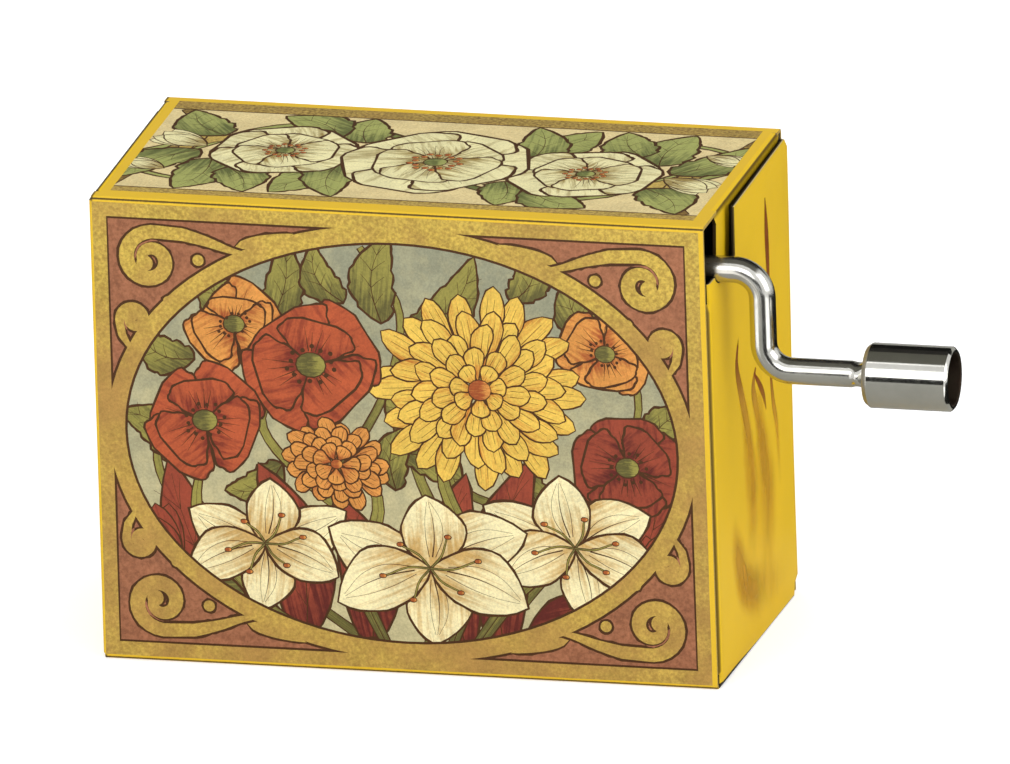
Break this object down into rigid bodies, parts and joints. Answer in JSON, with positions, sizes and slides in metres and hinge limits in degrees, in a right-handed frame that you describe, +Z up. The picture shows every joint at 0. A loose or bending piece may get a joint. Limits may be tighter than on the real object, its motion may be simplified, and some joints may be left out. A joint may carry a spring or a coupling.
{
  "type": "music box",
  "caption": "Small hand-cranked music box: a printed folding carton with a comb and pinned drum inside and a bent wire crank with a turning knob at one end.",
  "frame": {"origin": "middle of the carton's underside, on the surface it stands on", "axes": "+Z up, +X towards the end where the crank comes out, the printed front faces -Y"},
  "size_m": [0.0902, 0.0326, 0.05],
  "materials": {
    "printed_card": "satin",
    "foam_tape": "matte",
    "zinc_casting": "satin",
    "comb_steel": "satin",
    "lead": "matte",
    "plated_screw": "gloss",
    "drum_brass": "satin",
    "drum_plastic": "satin",
    "gear_plastic": "satin",
    "bracket_steel": "satin",
    "plated_wire": "gloss"
  },
  "bodies": {
    "carton": {"carton_sleeve": "printed_card", "right_end_panel": "printed_card", "left_end_panel": "printed_card", "right_top_flap": "printed_card", "right_bottom_flap": "printed_card", "left_top_flap": "printed_card", "left_bottom_flap": "printed_card", "adhesive_pads": "foam_tape", "bedplate": "zinc_casting", "comb": "comb_steel", "comb_weights": "lead", "comb_screws": "plated_screw", "arbor_washer": "drum_brass", "arbor_bracket": "bracket_steel", "bracket_screws": "plated_screw", "thrust_washer": "drum_brass"},
    "crank": {"crank_wire": "plated_wire", "worm": "gear_plastic", "shaft_clip": "comb_steel", "knob_washer": "drum_brass"},
    "drum": {"drum_sleeve": "drum_brass", "drum_pins": "comb_steel", "drum_lower_cap": "drum_plastic", "drum_upper_cap": "drum_plastic", "drum_arbor": "comb_steel", "drum_gear": "gear_plastic"},
    "knob": {"crank_knob": "plated_wire"}
  },
  "joints": [
    {"name": "crank_turn", "type": "hinge", "parent": "carton", "child": "crank", "pos_m": [0, -0.0124, 0.0444], "axis": [1, 0, 0], "continuous": true},
    {"name": "drum_turn", "type": "hinge", "parent": "carton", "child": "drum", "pos_m": [0.008, -0.0028, 0.028], "axis": [0, 0, 1], "continuous": true},
    {"name": "knob_spin", "type": "hinge", "parent": "crank", "child": "knob", "pos_m": [0.053, -0.0124, 0.03372], "axis": [1, 0, 0], "continuous": true}
  ],
  "couplings": [
    {"joint": "drum_turn", "follows": "crank_turn", "ratio": -0.041667}
  ]
}
